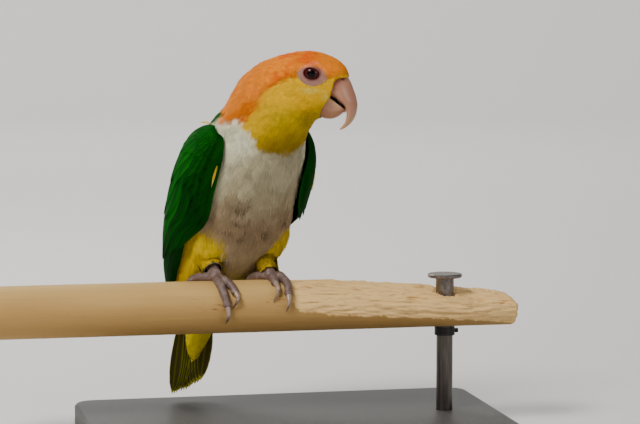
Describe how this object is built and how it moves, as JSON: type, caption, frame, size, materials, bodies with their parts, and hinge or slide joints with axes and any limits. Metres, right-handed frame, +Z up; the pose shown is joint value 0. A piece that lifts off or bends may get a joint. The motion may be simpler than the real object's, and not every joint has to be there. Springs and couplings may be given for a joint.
{
  "type": "white-bellied caique on a gnawed perch",
  "caption": "Still life-size white-bellied caique, a small stocky parrot, gripping a round gnawed perch on a plain stand and looking over its shoulder towards the bitten end.",
  "frame": {"origin": "on the floor under the stand's base, midway along the perch and midway across the base", "axes": "+X along the perch towards its gnawed end, -Y the way the bird's breast roughly faces, +Z up"},
  "size_m": [0.32, 0.15, 0.2229],
  "materials": {
    "belly_feathers": "matte, soft cream to beige plumage",
    "nape_feathers": "matte, orange to peach plumage",
    "crown_feathers": "matte, short orange and yellow plumage",
    "green_feathers": "satin green flight and covert feathers",
    "yellow_feathers": "matte, fluffy yellow plumage",
    "bill_horn": "satin horn, pinkish and paler at the tip",
    "claw_horn": "satin horn, dark with a paler root",
    "eye": "wet, dark red-brown with a black pupil",
    "foot_skin": "matte, scaly mauve-grey skin",
    "ring_metal": "worn dark steel with a bright rim",
    "perch_wood": "bare pale wood, gnawed and splintered",
    "stand_metal": "dull grey steel",
    "stand_dark_metal": "dark steel",
    "stand_base": "plain satin grey-brown"
  },
  "bodies": {
    "root": {"bill_lower": "bill_horn", "bill_upper": "bill_horn", "claw_left_1": "claw_horn", "claw_left_2": "claw_horn", "claw_left_3": "claw_horn", "claw_left_4": "claw_horn", "claw_right_1": "claw_horn", "claw_right_2": "claw_horn", "claw_right_3": "claw_horn", "claw_right_4": "claw_horn", "eye_left": "eye", "eye_right": "eye", "foot_left": "foot_skin", "foot_right": "foot_skin", "head": "crown_feathers", "leg_ring": "ring_metal", "neck": "nape_feathers", "perch": "perch_wood", "stand_base": "stand_base", "stand_cap": "stand_metal", "stand_collar": "stand_dark_metal", "stand_rod": "stand_metal", "tail": "green_feathers", "thigh_left": "yellow_feathers", "thigh_right": "yellow_feathers", "trunk": "belly_feathers", "undertail_coverts": "yellow_feathers", "wing_left": "green_feathers", "wing_right": "green_feathers"}
  },
  "joints": []
}
